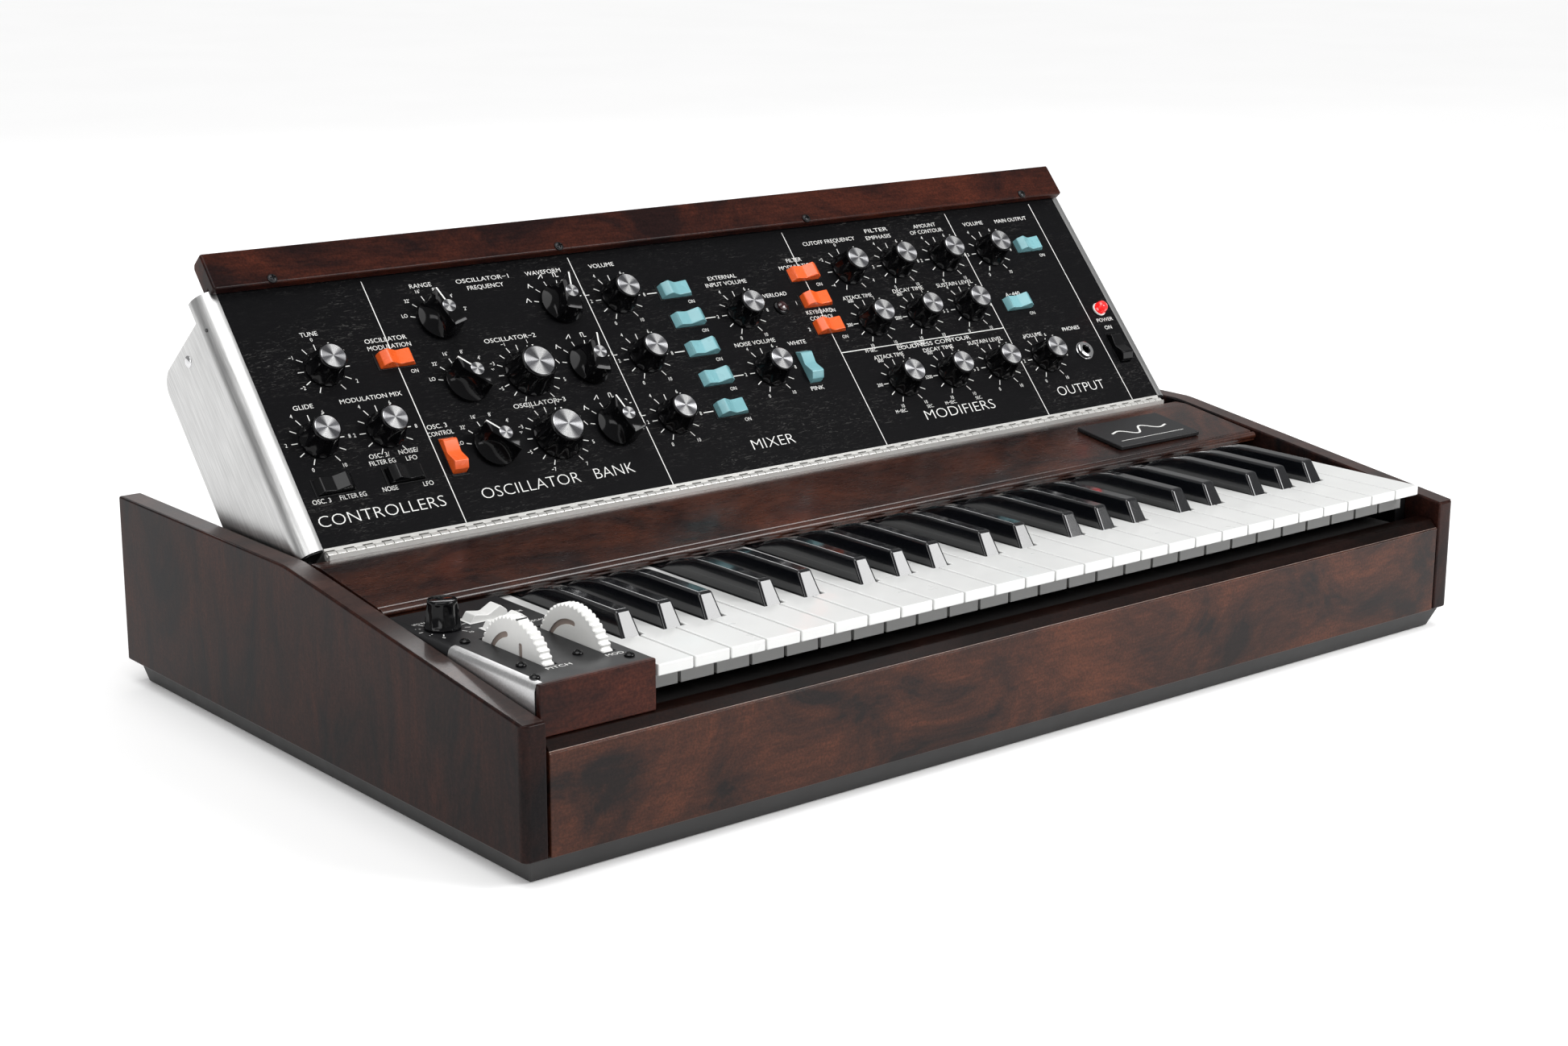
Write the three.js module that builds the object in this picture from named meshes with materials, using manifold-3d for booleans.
// Analog mono synthesizer in a wooden case: 44 sprung keys, two wheels and a
// control panel that tilts on a piano hinge.
//
// Millimetres. +X runs to the player's right, +Y to the back, +Z up. The origin
// is the centre of the footprint, on the surface that the plinth stands on.
import * as THREE from 'three';
import { mergeVertices } from 'three/addons/utils/BufferGeometryUtils.js';
import Module from 'manifold-3d';

// ---------------------------------------------------------------- dimensions

const FIT_GAP = 0.3; // between pieces that touch on the real object

const CASE = { width: 727, depth: 431.6, top: 116, frontTop: 85, slopeBreak: 13 };
const PLINTH = { height: 13.2, edge: 9.5, inset: 9, margin: 1 };
const SIDE_THICKNESS = 14.5;
const RAIL = { thickness: 16.3, top: 74, lipTop: 69, lipDepth: 5.5, endGap: 1.5 };
const BACK = { thickness: 15, top: 78 };

const COVER = { nose: -60.9, back: 14.1, under: 99.4, top: 114.3, flatFrom: 5, noseTop: 105.4 };
const NAMEPLATE = { width: 76, depth: 42, thickness: 3, x: 265, y: -27.5 };

const KEY = {
  pitch: 23.5,
  gap: 1,
  firstLeft: -276.6,
  front: -209,
  top: 98,
  lipUnder: 91.7,
  skirt: -196,
  under: 80.5,
  back: 8,
  coveredTop: 97.4,
  covered: -60,
};
const NATURALS = 26;
const SHARP = { front: -160, crest: -152, width: 12, topWidth: 9.4, top: 110.3, cutClearance: 1.2, back: 11.4 };
// Sharps follow these naturals of an octave that starts on F, each shifted
// sideways from the boundary between its two naturals.
const SHARP_SHIFTS = [-3.8, 0, 3.8, null, -2.4, 2.4, null];
const OCTAVE = ['f', 'g', 'a', 'b', 'c', 'd', 'e'];
const KEYBED = { top: 68, stopTop: 72, front: -194, railTop: 79.5 };

const CONTROLLER = { left: -348.7, right: -277.8, front: -209.5, plateTop: 101.5, back: -64 };
const WHEEL = { radius: 31, thickness: 6.6, axleY: -155, axleZ: 89.2, boreRadius: 3.4, ribs: 30 };
const AXLE_RADIUS = 3;
const PITCH_WHEEL_X = -324.9;
const MOD_WHEEL_X = -288.9;
const LFO_KNOB = { x: -333.1, y: -97.6, baseRadius: 10, topRadius: 8.2, height: 15.6 };
const CONTROLLER_ROCKERS = { x: -305.5, glideY: -95.5, decayY: -115.5 };

// The panel's own frame has its origin on the hinge pin, +Y up the slope and
// +Z out of the panel's face. U and V below are measured on the faceplate from
// its lower left corner, along its width and up the slope.
const HINGE = { y: 18.5, z: 115.3, knuckleRadius: 2.6, boreRadius: 1.6, pinRadius: 1.1, knuckles: 26 };
const PANEL_TILT = THREE.MathUtils.degToRad(49);
const FACE = { width: 669.8, start: 4.8, end: 176, level: 0.8, thickness: 1.5 };
const CHASSIS = {
  width: 695,
  wall: 2,
  depth: 73,
  bend: 12,
  bottom: 4.4,
  boxTop: 163.3,
  flangeTop: 176.2,
  corner: 12,
};
const CAP = { width: 679, bottom: 172.8, top: 197.3, front: 7.8, back: -5.5 };
const BOARD = { level: -22.4, thickness: 1.6, bottom: 14, top: 156, width: 636 };

const SMALL_KNOB = { baseRadius: 11.6, topRadius: 8.7, height: 15 };
const LARGE_KNOB = { baseRadius: 15.6, topRadius: 11.2, height: 15.5 };
const POINTER_KNOB = { baseRadius: 14, barWidth: 12, height: 16 };
const SHAFT_RADIUS = 3;
const ROCKER = { length: 24.4, width: 9.6, valley: 6.2, swing: 18.6, pivot: -2 };
const PROP = { y: 40, z: -79, width: 50, length: 112, thickness: 4, leanDeg: -42, footRadius: 3.5, knuckleRadius: 3.4 };

// Controls on the faceplate: [name, U, V, turn in degrees or pressed side].
const SMALL_KNOBS = [
  ['tune', 45.8, 111.1],
  ['glide', 23.7, 66.5],
  ['mod_mix', 67.7, 66.3],
  ['osc1_level', 265, 133],
  ['osc2_level', 265, 88.9],
  ['osc3_level', 265, 44.2],
  ['external_level', 353.2, 110],
  ['noise_level', 353.2, 66],
  ['cutoff', 454, 131.6],
  ['emphasis', 497.6, 131.6],
  ['contour_amount', 541.7, 131.6],
  ['filter_attack', 454, 90.4],
  ['filter_decay', 497.6, 90.4],
  ['filter_sustain', 541.7, 90.4],
  ['loudness_attack', 454, 43.2],
  ['loudness_decay', 498, 43.2],
  ['loudness_sustain', 542, 43.2],
  ['main_volume', 585.4, 131.3],
  ['phones_volume', 586.2, 43.2],
];
const LARGE_KNOBS = [
  ['osc2_frequency', 177.3, 89],
  ['osc3_frequency', 177.3, 44.5],
];
const POINTER_KNOBS = [
  ['osc1_range', 133.1, 133.6, 15],
  ['osc2_range', 133.1, 89.2, 45],
  ['osc3_range', 133.1, 45, 45],
  ['osc1_waveform', 221.6, 133.3, -15],
  ['osc2_waveform', 221.6, 88.9, -15],
  ['osc3_waveform', 221.6, 44.8, 15],
];
const PANEL_ROCKERS = [
  ['osc_modulation', 93.3, 111, 'right', 'orange'],
  ['osc3_control', 103.2, 43.3, 'up', 'orange'],
  ['filter_modulation', 415.7, 132.7, 'left', 'orange'],
  ['keyboard_track_one', 415.7, 112, 'right', 'orange'],
  ['keyboard_track_two', 415.7, 91.3, 'right', 'orange'],
  ['osc1_switch', 308.8, 132.6, 'right', 'blue'],
  ['external_switch', 308.8, 110.6, 'left', 'blue'],
  ['osc2_switch', 308.8, 88.7, 'left', 'blue'],
  ['noise_switch', 308.8, 66.6, 'left', 'blue'],
  ['osc3_switch', 308.8, 43.9, 'right', 'blue'],
  ['noise_colour', 383.9, 64.3, 'up', 'blue'],
  ['main_output', 622.9, 132.4, 'right', 'blue'],
  ['tuning_tone', 585.9, 87.9, 'left', 'blue'],
  ['mod_source_one', 21.9, 37, 'left', 'black'],
  ['mod_source_two', 67.9, 36.8, 'right', 'black'],
  ['power', 656.8, 41, 'up', 'black'],
];
// The controls that are nodes of their own. The others are joined to the board.
const MOVING = new Set([
  'tune', 'osc1_level', 'noise_level', 'cutoff', 'emphasis', 'main_volume',
  'osc2_frequency', 'osc1_range', 'osc1_waveform',
  'osc_modulation', 'filter_modulation', 'osc1_switch', 'noise_colour', 'main_output',
  'mod_source_one', 'mod_source_two', 'power',
]);
const LAMP = { u: 656.8, v: 73, bezelRadius: 5, lensRadius: 4.2, height: 8 };
const OVERLOAD_LAMP = { u: 385, v: 110, radius: 3, height: 3 };
const JACK = { u: 623.5, v: 43, nutRadius: 7, barrelRadius: 4.4, boreRadius: 3.3, length: 18 };

// ------------------------------------------------------------------- solids

const wasm = await Module();
wasm.setup();

function toSolid(geometry) {
  const bare = geometry.clone();
  bare.deleteAttribute('normal');
  bare.deleteAttribute('uv');
  const merged = mergeVertices(bare, 1e-5);
  const mesh = new wasm.Mesh({
    numProp: 3,
    vertProperties: new Float32Array(merged.attributes.position.array),
    triVerts: new Uint32Array(merged.index.array),
  });
  return new wasm.Manifold(mesh);
}

function toGeometry(solid) {
  const mesh = solid.getMesh();
  const geometry = new THREE.BufferGeometry();
  geometry.setAttribute('position', new THREE.BufferAttribute(mesh.vertProperties, 3));
  geometry.setIndex(new THREE.BufferAttribute(mesh.triVerts, 1));
  geometry.computeVertexNormals();
  return geometry;
}

const union = (first, ...others) => others.reduce((sum, next) => sum.add(next), first);

const cut = (body, ...tools) => tools.reduce((rest, tool) => rest.subtract(tool), body);

// A box from its lowest and highest corners.
function block([x0, y0, z0], [x1, y1, z1]) {
  const geometry = new THREE.BoxGeometry(x1 - x0, y1 - y0, z1 - z0);
  geometry.translate((x0 + x1) / 2, (y0 + y1) / 2, (z0 + z1) / 2);
  return toSolid(geometry);
}

function outlineShape(points) {
  return new THREE.Shape(points.map(([a, b]) => new THREE.Vector2(a, b)));
}

// An outline in the YZ plane, pulled along X.
function alongX(points, x0, x1) {
  const geometry = new THREE.ExtrudeGeometry(outlineShape(points), { depth: x1 - x0, bevelEnabled: false });
  const axes = new THREE.Matrix4().makeBasis(
    new THREE.Vector3(0, 1, 0),
    new THREE.Vector3(0, 0, 1),
    new THREE.Vector3(1, 0, 0),
  );
  geometry.applyMatrix4(axes);
  geometry.translate(x0, 0, 0);
  return toSolid(geometry);
}

// An outline in the XZ plane, pulled along Y.
function alongY(points, y0, y1) {
  const geometry = new THREE.ExtrudeGeometry(outlineShape(points), { depth: y1 - y0, bevelEnabled: false });
  geometry.rotateX(Math.PI / 2);
  geometry.translate(0, y1, 0);
  return toSolid(geometry);
}

// Rings of the same number of points, one above the other, closed at both ends.
function loft(rings) {
  const sides = rings[0].length;
  const positions = rings.flat(2);
  const faces = [];
  for (let ring = 0; ring + 1 < rings.length; ring += 1) {
    for (let i = 0; i < sides; i += 1) {
      const low = ring * sides + i;
      const lowNext = ring * sides + ((i + 1) % sides);
      faces.push(low, lowNext, lowNext + sides, low, lowNext + sides, low + sides);
    }
  }
  const last = (rings.length - 1) * sides;
  for (let i = 1; i + 1 < sides; i += 1) {
    faces.push(0, i + 1, i, last, last + i, last + i + 1);
  }
  const geometry = new THREE.BufferGeometry();
  geometry.setAttribute('position', new THREE.Float32BufferAttribute(positions, 3));
  geometry.setIndex(faces);
  return toSolid(geometry);
}

const ringAt = (x, y, z, radius, sides) => Array.from({ length: sides }, (_, i) => {
  const angle = (2 * Math.PI * i) / sides;
  return [x + radius * Math.cos(angle), y + radius * Math.sin(angle), z];
});

// A round piece standing on Z: a list of [height, radius].
const turned = (x, y, levels, sides) => loft(levels.map(([z, radius]) => ringAt(x, y, z, radius, sides)));

const rod = (x0, x1, y, z, radius, sides) => loft([x0, x1].map((x) => (
  ringAt(y, z, 0, radius, sides).map(([a, b]) => [x, a, b])
)));

function arc(cx, cy, radius, fromDeg, toDeg, steps) {
  return Array.from({ length: steps + 1 }, (_, i) => {
    const angle = THREE.MathUtils.degToRad(fromDeg + ((toDeg - fromDeg) * i) / steps);
    return [cx + radius * Math.cos(angle), cy + radius * Math.sin(angle)];
  });
}

// -------------------------------------------------------------- the assembly

const model = new THREE.Group();
const panel = new THREE.Group();
panel.position.set(0, HINGE.y, HINGE.z);
panel.rotation.x = PANEL_TILT;
model.add(panel);

const FINISHES = {
  walnut: { color: 0x3a1d14, roughness: 0.35, metalness: 0 },
  plinth: { color: 0x2b2927, roughness: 0.7, metalness: 0 },
  ivory: { color: 0xeeeeea, roughness: 0.3, metalness: 0 },
  ebony: { color: 0x0b0b0c, roughness: 0.15, metalness: 0 },
  face: { color: 0x141414, roughness: 0.55, metalness: 0.1 },
  aluminium: { color: 0xb9bbbd, roughness: 0.35, metalness: 0.9 },
  steel: { color: 0x9a9c9e, roughness: 0.4, metalness: 0.9 },
  blackMetal: { color: 0x1b1b1c, roughness: 0.5, metalness: 0.4 },
  knob: { color: 0x08080a, roughness: 0.2, metalness: 0 },
  orange: { color: 0xf4622a, roughness: 0.4, metalness: 0 },
  blue: { color: 0x7db8be, roughness: 0.4, metalness: 0 },
  black: { color: 0x0c0c0d, roughness: 0.35, metalness: 0 },
  board: { color: 0x1d5a34, roughness: 0.6, metalness: 0 },
  lamp: { color: 0xd8141f, roughness: 0.15, metalness: 0 },
};

function place(name, solid, finish, parent = model) {
  const mesh = new THREE.Mesh(toGeometry(solid), new THREE.MeshStandardMaterial(FINISHES[finish]));
  mesh.name = name;
  parent.add(mesh);
}

// ---------------------------------------------------------------------- case

const halfWidth = CASE.width / 2;
const halfDepth = CASE.depth / 2;
const inner = halfWidth - SIDE_THICKNESS;
const sideBottom = PLINTH.height + FIT_GAP;

function baseBoard() {
  const rectangle = (inset, z) => {
    const x = halfWidth - inset;
    const y = halfDepth - inset;
    return [[-x, -y, z], [x, -y, z], [x, y, z], [-x, y, z]];
  };
  return loft([
    rectangle(PLINTH.inset, 0),
    rectangle(PLINTH.margin, PLINTH.edge),
    rectangle(PLINTH.margin, PLINTH.height),
  ]);
}

function sidePanel(x0) {
  const outline = [
    [-halfDepth, sideBottom],
    [halfDepth, sideBottom],
    [halfDepth, CASE.top],
    [CASE.slopeBreak, CASE.top],
    [-halfDepth, CASE.frontTop],
  ];
  return alongX(outline, x0, x0 + SIDE_THICKNESS);
}

function frontRail() {
  const front = -halfDepth;
  const outline = [
    [front, sideBottom],
    [front + RAIL.thickness, sideBottom],
    [front + RAIL.thickness, RAIL.top],
    [front + RAIL.lipDepth, RAIL.top],
    [front, RAIL.lipTop],
  ];
  return alongX(outline, -inner + RAIL.endGap, inner - RAIL.endGap);
}

function keyCover() {
  const outline = [
    [COVER.nose + 0.6, COVER.under],
    [COVER.back, COVER.under],
    [COVER.back, COVER.top],
    [COVER.flatFrom, COVER.top],
    [COVER.nose + 4.4, COVER.noseTop],
    [COVER.nose + 1.1, COVER.noseTop - 1.4],
    [COVER.nose, COVER.noseTop - 3.8],
  ];
  return alongX(outline, -inner + 1.7, inner - 1.7);
}

const coverRise = COVER.top - COVER.noseTop;
const coverRun = COVER.flatFrom - (COVER.nose + 4.4);
const coverSlope = Math.atan2(coverRise, coverRun);

function nameplate() {
  const { width, depth, thickness, x, y } = NAMEPLATE;
  const coverTop = COVER.top - (COVER.flatFrom - y) * Math.tan(coverSlope);
  const geometry = new THREE.BoxGeometry(width, depth, thickness);
  geometry.rotateX(coverSlope);
  geometry.translate(x, y, coverTop + FIT_GAP + thickness / 2 / Math.cos(coverSlope));
  return toSolid(geometry);
}

place('base_board', baseBoard(), 'plinth');
place('side_left', sidePanel(-halfWidth), 'walnut');
place('side_right', sidePanel(inner), 'walnut');
place('front_rail', frontRail(), 'walnut');
place('back_panel', block(
  [-inner + FIT_GAP, halfDepth - BACK.thickness, sideBottom],
  [inner - FIT_GAP, halfDepth, BACK.top],
), 'walnut');
place('key_cover', keyCover(), 'walnut');
place('nameplate', nameplate(), 'blackMetal');
place('power_supply', union(
  block([170, 40, sideBottom], [325, 150, 18]),
  block([185, 60, 16], [245, 130, 34]),
  block([260, 60, 16], [310, 110, 26]),
), 'steel');

// ------------------------------------------------------------------ keyboard

const naturalLeft = (index) => KEY.firstLeft + KEY.pitch * index;

// Each sharp: the natural on its left and its centre line.
const sharps = [];
for (let index = 0; index + 1 < NATURALS; index += 1) {
  const shift = SHARP_SHIFTS[index % SHARP_SHIFTS.length];
  if (shift !== null) {
    sharps.push({ after: index, x: naturalLeft(index + 1) + shift });
  }
}

function naturalKey(index) {
  const outline = [
    [KEY.front, KEY.lipUnder],
    [KEY.skirt, KEY.lipUnder],
    [KEY.skirt, KEY.under],
    [KEY.back, KEY.under],
    [KEY.back, KEY.coveredTop],
    [KEY.covered, KEY.coveredTop],
    [KEY.covered - 2, KEY.top],
    [KEY.front, KEY.top],
  ];
  const left = naturalLeft(index) + KEY.gap / 2;
  const body = alongX(outline, left, left + KEY.pitch - KEY.gap);
  const halfCut = SHARP.width / 2 + SHARP.cutClearance;
  const neighbours = sharps.filter(({ after }) => after === index || after === index - 1);
  const notches = neighbours.map(({ x }) => block(
    [x - halfCut, SHARP.front - SHARP.cutClearance, KEY.under - 1],
    [x + halfCut, KEY.back + 1, KEY.top + 1],
  ));
  return cut(body, ...notches);
}

function sharpKey(x) {
  const shoulder = KEY.top - 0.2;
  const low = SHARP.width / 2;
  // Stations along the key: [y, top height]. The top falls away at the cover.
  const stations = [
    [SHARP.front, shoulder + 0.4],
    [SHARP.crest, SHARP.top],
    [-104, SHARP.top],
    [-76, 104.4],
    [-65, shoulder + 0.4],
    [SHARP.back, shoulder + 0.4],
  ];
  return loft(stations.map(([y, top]) => {
    const share = (top - shoulder) / (SHARP.top - shoulder);
    const high = low - ((SHARP.width - SHARP.topWidth) / 2) * share;
    return [
      [x - low, y, KEY.under + 6],
      [x + low, y, KEY.under + 6],
      [x + low, y, shoulder],
      [x + high, y, top],
      [x - high, y, top],
      [x - low, y, shoulder],
    ].reverse();
  }));
}

function keyboardFrame() {
  const left = naturalLeft(0) + 1;
  const right = inner - 2;
  const tray = block([left, KEYBED.front, 60], [right, KEY.back, KEYBED.top]);
  const stop = block([left + 1, -150, KEYBED.top - 1], [naturalLeft(NATURALS), -138, KEYBED.stopTop]);
  const rail = block([left + 1, -3, KEYBED.top - 1], [naturalLeft(NATURALS), KEY.back - 1, KEYBED.railTop]);
  const beam = block([left + 3, -118, sideBottom + FIT_GAP], [right - 2, -84, 61]);
  const endPlate = block([naturalLeft(NATURALS) + 2, -190, KEYBED.top - 1], [right - 1, 5, 88]);
  return union(tray, stop, rail, endPlate, beam);
}

place('keyboard_frame', keyboardFrame(), 'blackMetal');
const lowOctave = OCTAVE.length;
for (let index = 0; index < lowOctave; index += 1) {
  place(`key_${OCTAVE[index]}1`, naturalKey(index), 'ivory');
}
for (const { after, x } of sharps.filter((sharp) => sharp.after < lowOctave)) {
  place(`key_${OCTAVE[after]}_sharp1`, sharpKey(x), 'ebony');
}
// Above the lowest octave the keys are joined at their hidden tails.
const upperNaturals = [];
for (let index = lowOctave; index < NATURALS; index += 1) {
  upperNaturals.push(naturalKey(index));
}
const upperSharps = sharps.filter((sharp) => sharp.after >= lowOctave);
place('upper_naturals', union(
  block(
    [naturalLeft(lowOctave) + KEY.gap / 2, 2, KEY.under],
    [naturalLeft(NATURALS) - KEY.gap / 2, KEY.back, KEY.under + 4],
  ),
  ...upperNaturals,
), 'ivory');
place('upper_sharps', union(
  block(
    [upperSharps[0].x - SHARP.width / 2, KEY.back + 0.5, KEY.under + 6],
    [upperSharps[upperSharps.length - 1].x + SHARP.width / 2, SHARP.back, KEY.coveredTop],
  ),
  ...upperSharps.map(({ x }) => sharpKey(x)),
), 'ebony');

// --------------------------------------------------------- left hand controls

const { left: boxLeft, right: boxRight, front: boxFront, plateTop } = CONTROLLER;

function controllerBlock() {
  const front = block([boxLeft, boxFront, RAIL.top + FIT_GAP], [boxRight, boxFront + 3.5, plateTop + 0.4]);
  const core = block([boxLeft + 4, boxFront + 3, RAIL.top + FIT_GAP], [boxRight, -197.5, plateTop - 2]);
  const cheek = block([boxRight - 3, -198, RAIL.top + FIT_GAP], [boxRight, CONTROLLER.back, plateTop - 2]);
  return union(front, core, cheek);
}

const rockerSlot = (x, y, along, low, high) => {
  const halfLong = ROCKER.length / 2 + 0.9;
  const halfWide = ROCKER.width / 2 + 0.7;
  const [dx, dy] = along === 'x' ? [halfLong, halfWide] : [halfWide, halfLong];
  return block([x - dx, y - dy, low], [x + dx, y + dy, high]);
};

function controllerPlate() {
  const low = plateTop - 1.5;
  const outline = [
    [boxLeft, plateTop - 26],
    [boxLeft + 1.5, plateTop - 26],
    [boxLeft + 1.5, low - 3],
    [boxLeft + 4.5, low],
    [boxRight, low],
    [boxRight, plateTop],
    [boxLeft + 4.5, plateTop],
    [boxLeft + 1.6, plateTop - 0.9],
    [boxLeft, plateTop - 4],
  ];
  const body = alongY(outline, boxFront + 3.8, CONTROLLER.back);
  const slotFor = (x) => {
    const half = Math.sqrt(WHEEL.radius ** 2 - (low - WHEEL.axleZ) ** 2) + 1;
    const wide = WHEEL.thickness / 2 + 0.8;
    return block([x - wide, WHEEL.axleY - half, low - 1], [x + wide, WHEEL.axleY + half, plateTop + 1]);
  };
  return cut(
    body,
    slotFor(PITCH_WHEEL_X),
    slotFor(MOD_WHEEL_X),
    turned(LFO_KNOB.x, LFO_KNOB.y, [[low - 1, 4.2], [plateTop + 1, 4.2]], 8),
    rockerSlot(CONTROLLER_ROCKERS.x, CONTROLLER_ROCKERS.glideY, 'x', low - 1, plateTop + 1),
    rockerSlot(CONTROLLER_ROCKERS.x, CONTROLLER_ROCKERS.decayY, 'x', low - 1, plateTop + 1),
  );
}

// A steel frame with one wall outside each wheel, and the axle between them.
function controllerBracket() {
  const { axleY, axleZ } = WHEEL;
  const walls = [-336, -308, -283.8].map((x) => (
    block([x, axleY - 12, sideBottom + 1], [x + 1.6, axleY + 12, axleZ + 6])
  ));
  const floor = block([-336, axleY - 12, sideBottom + FIT_GAP], [-282.2, axleY + 12, sideBottom + 2.3]);
  const shaft = rod(-338, -281.4, axleY, axleZ, AXLE_RADIUS, 12);
  return union(floor, ...walls, shaft);
}

function wheel(x) {
  const half = WHEEL.thickness / 2;
  const { radius, axleY, axleZ, boreRadius } = WHEEL;
  const chamfer = 0.8;
  const disc = loft([[-half, radius - chamfer], [-half + chamfer, radius], [half - chamfer, radius],
    [half, radius - chamfer]].map(([dx, r]) => (
    ringAt(axleY, axleZ, 0, r, WHEEL.ribs).map(([a, b]) => [x + dx, a, b])
  )));
  return cut(disc, rod(x - half - 1, x + half + 1, axleY, axleZ, boreRadius, 12));
}

const knobBody = (x, y, level, { baseRadius, topRadius, height }, sides) => turned(x, y, [
  [level, baseRadius],
  [level + height * 0.9, topRadius + 0.4],
  [level + height, topRadius],
], sides);

// A rocker cap in its neutral position, along X, with its pivot at the origin.
function rockerCap() {
  const half = ROCKER.length / 2;
  const rise = half * Math.tan(THREE.MathUtils.degToRad(ROCKER.swing / 2));
  const outline = [
    [-half, -1],
    [half, -1],
    [half, ROCKER.valley + rise],
    [0, ROCKER.valley],
    [-half, ROCKER.valley + rise],
  ];
  return alongY(outline, -ROCKER.width / 2, ROCKER.width / 2);
}

const TURN_TO_ALONG = { right: 0, left: 180, up: 90, down: -90 };

// The cap tipped so that its pressed side is down, at a place on a face.
function rocker(x, y, level, pressed) {
  return rockerCap()
    .rotate([0, ROCKER.swing / 2, 0])
    .rotate([0, 0, TURN_TO_ALONG[pressed]])
    .translate([x, y, level + ROCKER.pivot]);
}

place('controller_block', controllerBlock(), 'walnut');
place('controller_plate', controllerPlate(), 'blackMetal');
place('controller_bracket', controllerBracket(), 'steel');
place('pitch_wheel', wheel(PITCH_WHEEL_X), 'ivory');
place('mod_wheel', wheel(MOD_WHEEL_X), 'ivory');
place('lfo_rate_knob', union(
  knobBody(LFO_KNOB.x, LFO_KNOB.y, plateTop + 0.5, LFO_KNOB, 14),
  turned(LFO_KNOB.x, LFO_KNOB.y, [[plateTop - 8, SHAFT_RADIUS], [plateTop + 1, SHAFT_RADIUS]], 8),
), 'knob');
place('glide_rocker', rocker(CONTROLLER_ROCKERS.x, CONTROLLER_ROCKERS.glideY, plateTop, 'left'), 'ivory');
place('decay_rocker', rocker(CONTROLLER_ROCKERS.x, CONTROLLER_ROCKERS.decayY, plateTop, 'left'), 'ivory');

// --------------------------------------------------------------------- hinge

const hingeHalf = FACE.width / 2;
const knuckleLength = FACE.width / HINGE.knuckles;

// Every second knuckle belongs to one leaf. The webs tie them to its plate.
function leaf(first, plate, web) {
  const pieces = [plate];
  for (let i = first; i < HINGE.knuckles; i += 2) {
    const x0 = -hingeHalf + i * knuckleLength + FIT_GAP / 2;
    const x1 = x0 + knuckleLength - FIT_GAP;
    pieces.push(rod(x0, x1, 0, 0, HINGE.knuckleRadius, 6));
    pieces.push(block([x0, web[0][0], web[0][1]], [x1, web[1][0], web[1][1]]));
  }
  return cut(union(...pieces), rod(-hingeHalf - 1, hingeHalf + 1, 0, 0, HINGE.boreRadius, 6));
}

const lowerLeaf = leaf(
  0,
  block([-hingeHalf, -4.1, -15.5], [hingeHalf, -2.9, 1.6]),
  [[-3.4, -1], [-1.9, 1.4]],
).translate([0, HINGE.y, HINGE.z]);
const upperLeaf = leaf(
  1,
  block([-hingeHalf, 2.9, -16], [hingeHalf, 4.1, 0.6]),
  [[1.9, -1.6], [3.4, 0.6]],
);
place('hinge_lower_leaf', lowerLeaf, 'steel');
place('hinge_pin', rod(-hingeHalf, hingeHalf, HINGE.y, HINGE.z, HINGE.pinRadius, 6), 'steel');
place('hinge_upper_leaf', upperLeaf, 'steel', panel);

// ------------------------------------------------------------- tilting panel

const panelX = (u) => u - FACE.width / 2;
const panelY = (v) => v + FACE.start;

function panelChassis() {
  const { width, wall, depth, bend, bottom, boxTop, flangeTop, corner } = CHASSIS;
  const half = width / 2;
  const faceHalf = FACE.width / 2 + 0.4;
  const under = FACE.level - FACE.thickness - FIT_GAP;
  const rim = FACE.level - 0.1;
  const bendLevel = rim - bend;
  // Across the panel: two cheeks with round bends and a sunken face.
  const halfAcross = [...arc(half - bend, bendLevel, bend, 0, 90, 5), [faceHalf, rim], [faceHalf, under]];
  const across = [
    [half, -depth],
    ...halfAcross,
    ...halfAcross.map(([x, z]) => [-x, z]).reverse(),
    [-half, -depth],
  ];
  const innerHalf = half - wall;
  const innerAcross = [
    [innerHalf, -depth - 5],
    ...arc(half - bend, bendLevel, bend - wall, 0, 72, 4),
    [faceHalf, under - wall],
    [-faceHalf, under - wall],
    ...arc(-half + bend, bendLevel, bend - wall, 108, 180, 4),
    [-innerHalf, -depth - 5],
  ];
  // Along the slope: the box, its round back corner, and the flange above it.
  const along = [
    [bottom, -depth],
    ...arc(boxTop - corner, -depth + corner, corner, -90, 0, 4),
    [boxTop, -bend],
    [flangeTop, -bend],
    [flangeTop, rim],
    [bottom, rim],
  ];
  const innerAlong = [
    [bottom + wall, -depth - 5],
    [boxTop - corner, -depth - 5],
    ...arc(boxTop - corner, -depth + corner, corner - wall, -90, 0, 4),
    [boxTop - wall, under - wall],
    [bottom + wall, under - wall],
  ];
  const outer = alongY(across, bottom, flangeTop).intersect(alongX(along, -half, half));
  const hollowSide = alongX(innerAlong, -innerHalf, innerHalf);
  const hollow = alongY(innerAcross, bottom - 1, flangeTop + 1).intersect(hollowSide);
  const behindFlange = alongY(innerAcross, boxTop, flangeTop + 1);
  const window = block([-329, 12, -10], [329, 159, 10]);
  return cut(outer, hollow, behindFlange, window);
}

function controlHoles(low, high) {
  const round = ([, u, v]) => turned(panelX(u), panelY(v), [[low, 4.6], [high, 4.6]], 6);
  const slot = ([, u, v, pressed]) => (
    rockerSlot(panelX(u), panelY(v), ['up', 'down'].includes(pressed) ? 'y' : 'x', low, high)
  );
  return [
    ...SMALL_KNOBS.map(round),
    ...LARGE_KNOBS.map(round),
    ...POINTER_KNOBS.map(round),
    ...PANEL_ROCKERS.map(slot),
    turned(panelX(LAMP.u), panelY(LAMP.v), [[low, 3.8], [high, 3.8]], 8),
    turned(panelX(JACK.u), panelY(JACK.v), [[low, 5], [high, 5]], 8),
    turned(panelX(OVERLOAD_LAMP.u), panelY(OVERLOAD_LAMP.v), [[low, 3.6], [high, 3.6]], 6),
  ];
}

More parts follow.
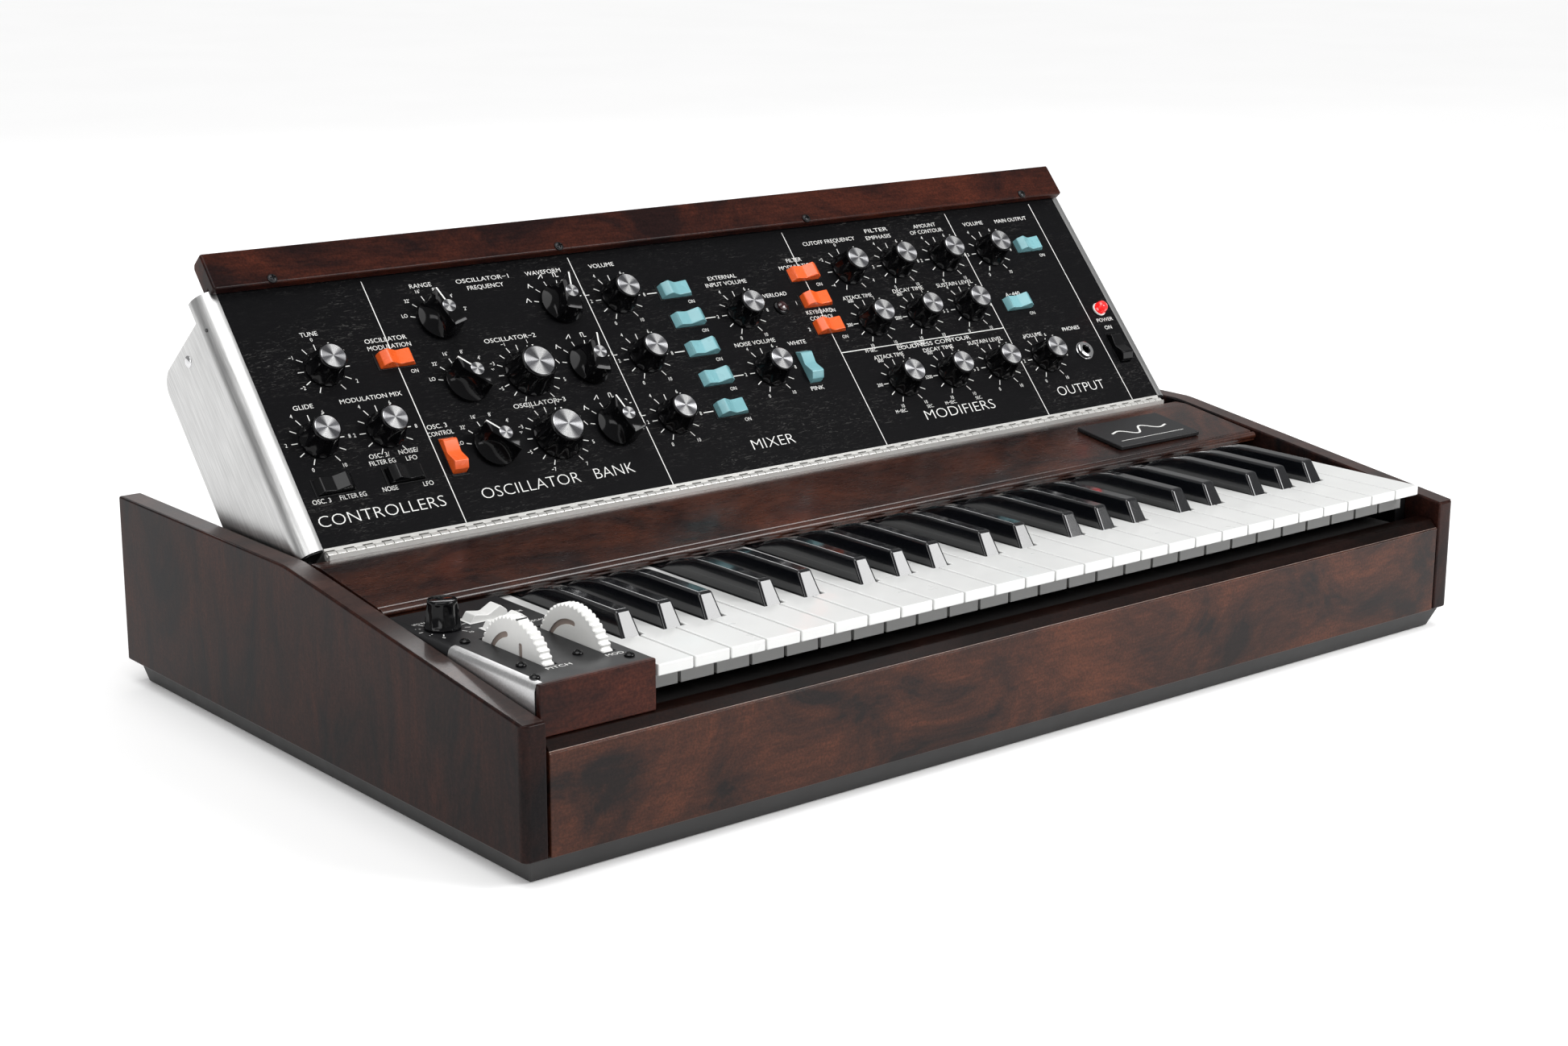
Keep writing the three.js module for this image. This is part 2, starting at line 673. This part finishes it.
function faceplate() {
  const half = FACE.width / 2;
  const plate = block([-half, FACE.start, FACE.level - FACE.thickness], [half, FACE.end, FACE.level]);
  return cut(plate, ...controlHoles(-5, 5));
}

function topCap() {
  const { bottom, top, front, back, width } = CAP;
  const lipUnder = FACE.level + FIT_GAP;
  const seat = CHASSIS.flangeTop + FIT_GAP;
  const outline = [
    [bottom, lipUnder],
    [seat, lipUnder],
    [seat, back],
    [top, back],
    [top, front],
    [bottom, front],
  ];
  return alongX(outline, -width / 2, width / 2);
}

function rearCover() {
  const half = CHASSIS.width / 2 - CHASSIS.wall - FIT_GAP;
  const level = -CHASSIS.depth + 1.8;
  const far = CHASSIS.boxTop - CHASSIS.corner - FIT_GAP;
  const plate = block([-half, 6.8, level - 1.5], [half, far, level]);
  // A row of jack collars and the mains inlet, seen from behind.
  const collars = Array.from({ length: 7 }, (_, i) => (
    turned(-250 + i * 40, 118, [[level - 5, 6.5], [level - 1, 6.5]], 8)
  ));
  const inlet = block([220, 100, level - 3.5], [268, 130, level - 1]);
  return union(plate, ...collars, inlet);
}

const knobLevel = FACE.level + 0.5;

function pointerKnob(x, y, turn) {
  const { baseRadius, barWidth, height } = POINTER_KNOB;
  const skirt = turned(0, 0, [[0, baseRadius], [5, baseRadius - 0.8], [height * 0.55, baseRadius - 4]], 14);
  const bar = (halfLong, halfWide, z) => [
    [-halfWide, -halfLong, z],
    [halfWide, -halfLong, z],
    [halfWide * 0.8, halfLong - 3, z],
    [0, halfLong, z],
    [-halfWide * 0.8, halfLong - 3, z],
  ];
  const half = barWidth / 2;
  const grip = loft([bar(baseRadius, half, 1), bar(baseRadius - 0.6, half - 0.8, height)]);
  return union(skirt, grip).rotate([0, 0, turn]).translate([x, y, knobLevel]);
}

// The cap of each control, without its shaft.
function controlCaps() {
  const caps = new Map();
  const round = (form, sides) => ([name, u, v]) => {
    caps.set(name, { u, v, round: true, finish: 'knob', cap: knobBody(panelX(u), panelY(v), knobLevel, form, sides) });
  };
  SMALL_KNOBS.forEach(round(SMALL_KNOB, 12));
  LARGE_KNOBS.forEach(round(LARGE_KNOB, 14));
  POINTER_KNOBS.forEach(([name, u, v, turn]) => {
    caps.set(name, { u, v, round: true, finish: 'knob', cap: pointerKnob(panelX(u), panelY(v), turn) });
  });
  PANEL_ROCKERS.forEach(([name, u, v, pressed, colour]) => {
    const cap = rocker(panelX(u), panelY(v), FACE.level, pressed);
    caps.set(name, { u, v, round: false, upright: pressed === 'up', finish: colour, cap });
  });
  return caps;
}

const caps = controlCaps();

// The board carries every pot and switch, and the caps that aren't nodes of
// their own.
function controlBoard() {
  const half = BOARD.width / 2;
  const pieces = [block([-half, BOARD.bottom, BOARD.level - BOARD.thickness], [half, BOARD.top, BOARD.level])];
  for (const [name, { u, v, round, upright, cap }] of caps) {
    const [x, y] = [panelX(u), panelY(v)];
    const moving = MOVING.has(name);
    const shift = name === 'power' ? -14 : 0;
    if (round) {
      pieces.push(block([x - 7, y - 7, BOARD.level - 0.5], [x + 7, y + 7, -12]));
      if (!moving) {
        pieces.push(turned(x, y, [[-13, SHAFT_RADIUS], [knobLevel + 1, SHAFT_RADIUS]], 6), cap);
      }
    } else {
      const [dx, dy] = upright ? [5, 11] : [11, 5];
      pieces.push(block([x - dx + shift, y - dy, BOARD.level - 0.5], [x + dx, y + dy, -8]));
      if (!moving) {
        pieces.push(block([x - dx + 1, y - dy + 1, -9], [x + dx - 1, y + dy - 1, 0]), cap);
      }
    }
  }
  const lens = turned(panelX(OVERLOAD_LAMP.u), panelY(OVERLOAD_LAMP.v), [
    [BOARD.level - 0.5, OVERLOAD_LAMP.radius],
    [FACE.level + OVERLOAD_LAMP.height, OVERLOAD_LAMP.radius],
  ], 6);
  return union(...pieces, lens);
}

function phonesJack() {
  const { u, v, nutRadius, barrelRadius, boreRadius, length } = JACK;
  const [x, y] = [panelX(u), panelY(v)];
  const nut = turned(x, y, [[FACE.level + FIT_GAP, nutRadius], [FACE.level + 3.4, nutRadius - 1]], 12);
  const barrel = turned(x, y, [[FACE.level - length, barrelRadius], [FACE.level + 1, barrelRadius]], 12);
  return cut(union(nut, barrel), turned(x, y, [[FACE.level - length + 2, boreRadius], [20, boreRadius]], 8));
}

function powerLamp() {
  const { u, v, bezelRadius, lensRadius, height } = LAMP;
  return turned(panelX(u), panelY(v), [
    [FACE.level + FIT_GAP, bezelRadius],
    [FACE.level + 2.4, bezelRadius - 0.4],
    [FACE.level + 2.8, lensRadius],
    [FACE.level + height - 2, lensRadius * 0.92],
    [FACE.level + height - 0.5, lensRadius * 0.5],
    [FACE.level + height, lensRadius * 0.15],
  ], 10);
}

place('panel_chassis', panelChassis(), 'aluminium', panel);
place('faceplate', faceplate(), 'face', panel);
place('top_cap', topCap(), 'walnut', panel);
place('rear_cover', rearCover(), 'steel', panel);
place('control_board', controlBoard(), 'board', panel);
place('phones_jack', phonesJack(), 'steel', panel);
place('power_lamp', powerLamp(), 'lamp', panel);
for (const [name, { u, v, round, finish, cap }] of caps) {
  if (MOVING.has(name)) {
    const shaft = () => turned(panelX(u), panelY(v), [[-11, SHAFT_RADIUS], [knobLevel + 1, SHAFT_RADIUS]], 8);
    place(round ? `${name}_knob` : `${name}_rocker`, round ? union(cap, shaft()) : cap, finish, panel);
  }
}

// ---------------------------------------------------------------- prop stand

// A flat steel leg pivoted behind the rear cover, with a foot bar at its end.
function propStand() {
  const { width, length, thickness } = PROP;
  const leg = block([-width / 2, -2, -thickness / 2], [width / 2, length, thickness / 2]);
  const foot = rod(-width / 2 - 8, width / 2 + 8, length, 0, PROP.footRadius, 8);
  const knuckle = rod(-width / 2, width / 2, 0, 0, PROP.knuckleRadius, 8);
  return union(leg, foot, knuckle);
}

const propAngle = THREE.MathUtils.degToRad(PROP.leanDeg);
const propHinge = new THREE.Vector3(0, PROP.y, PROP.z).applyAxisAngle(new THREE.Vector3(1, 0, 0), PANEL_TILT);
const propGroup = new THREE.Group();
propGroup.position.set(0, HINGE.y + propHinge.y, HINGE.z + propHinge.z);
propGroup.rotation.x = propAngle;
model.add(propGroup);
place('prop_stand', propStand(), 'steel', propGroup);

export default model;
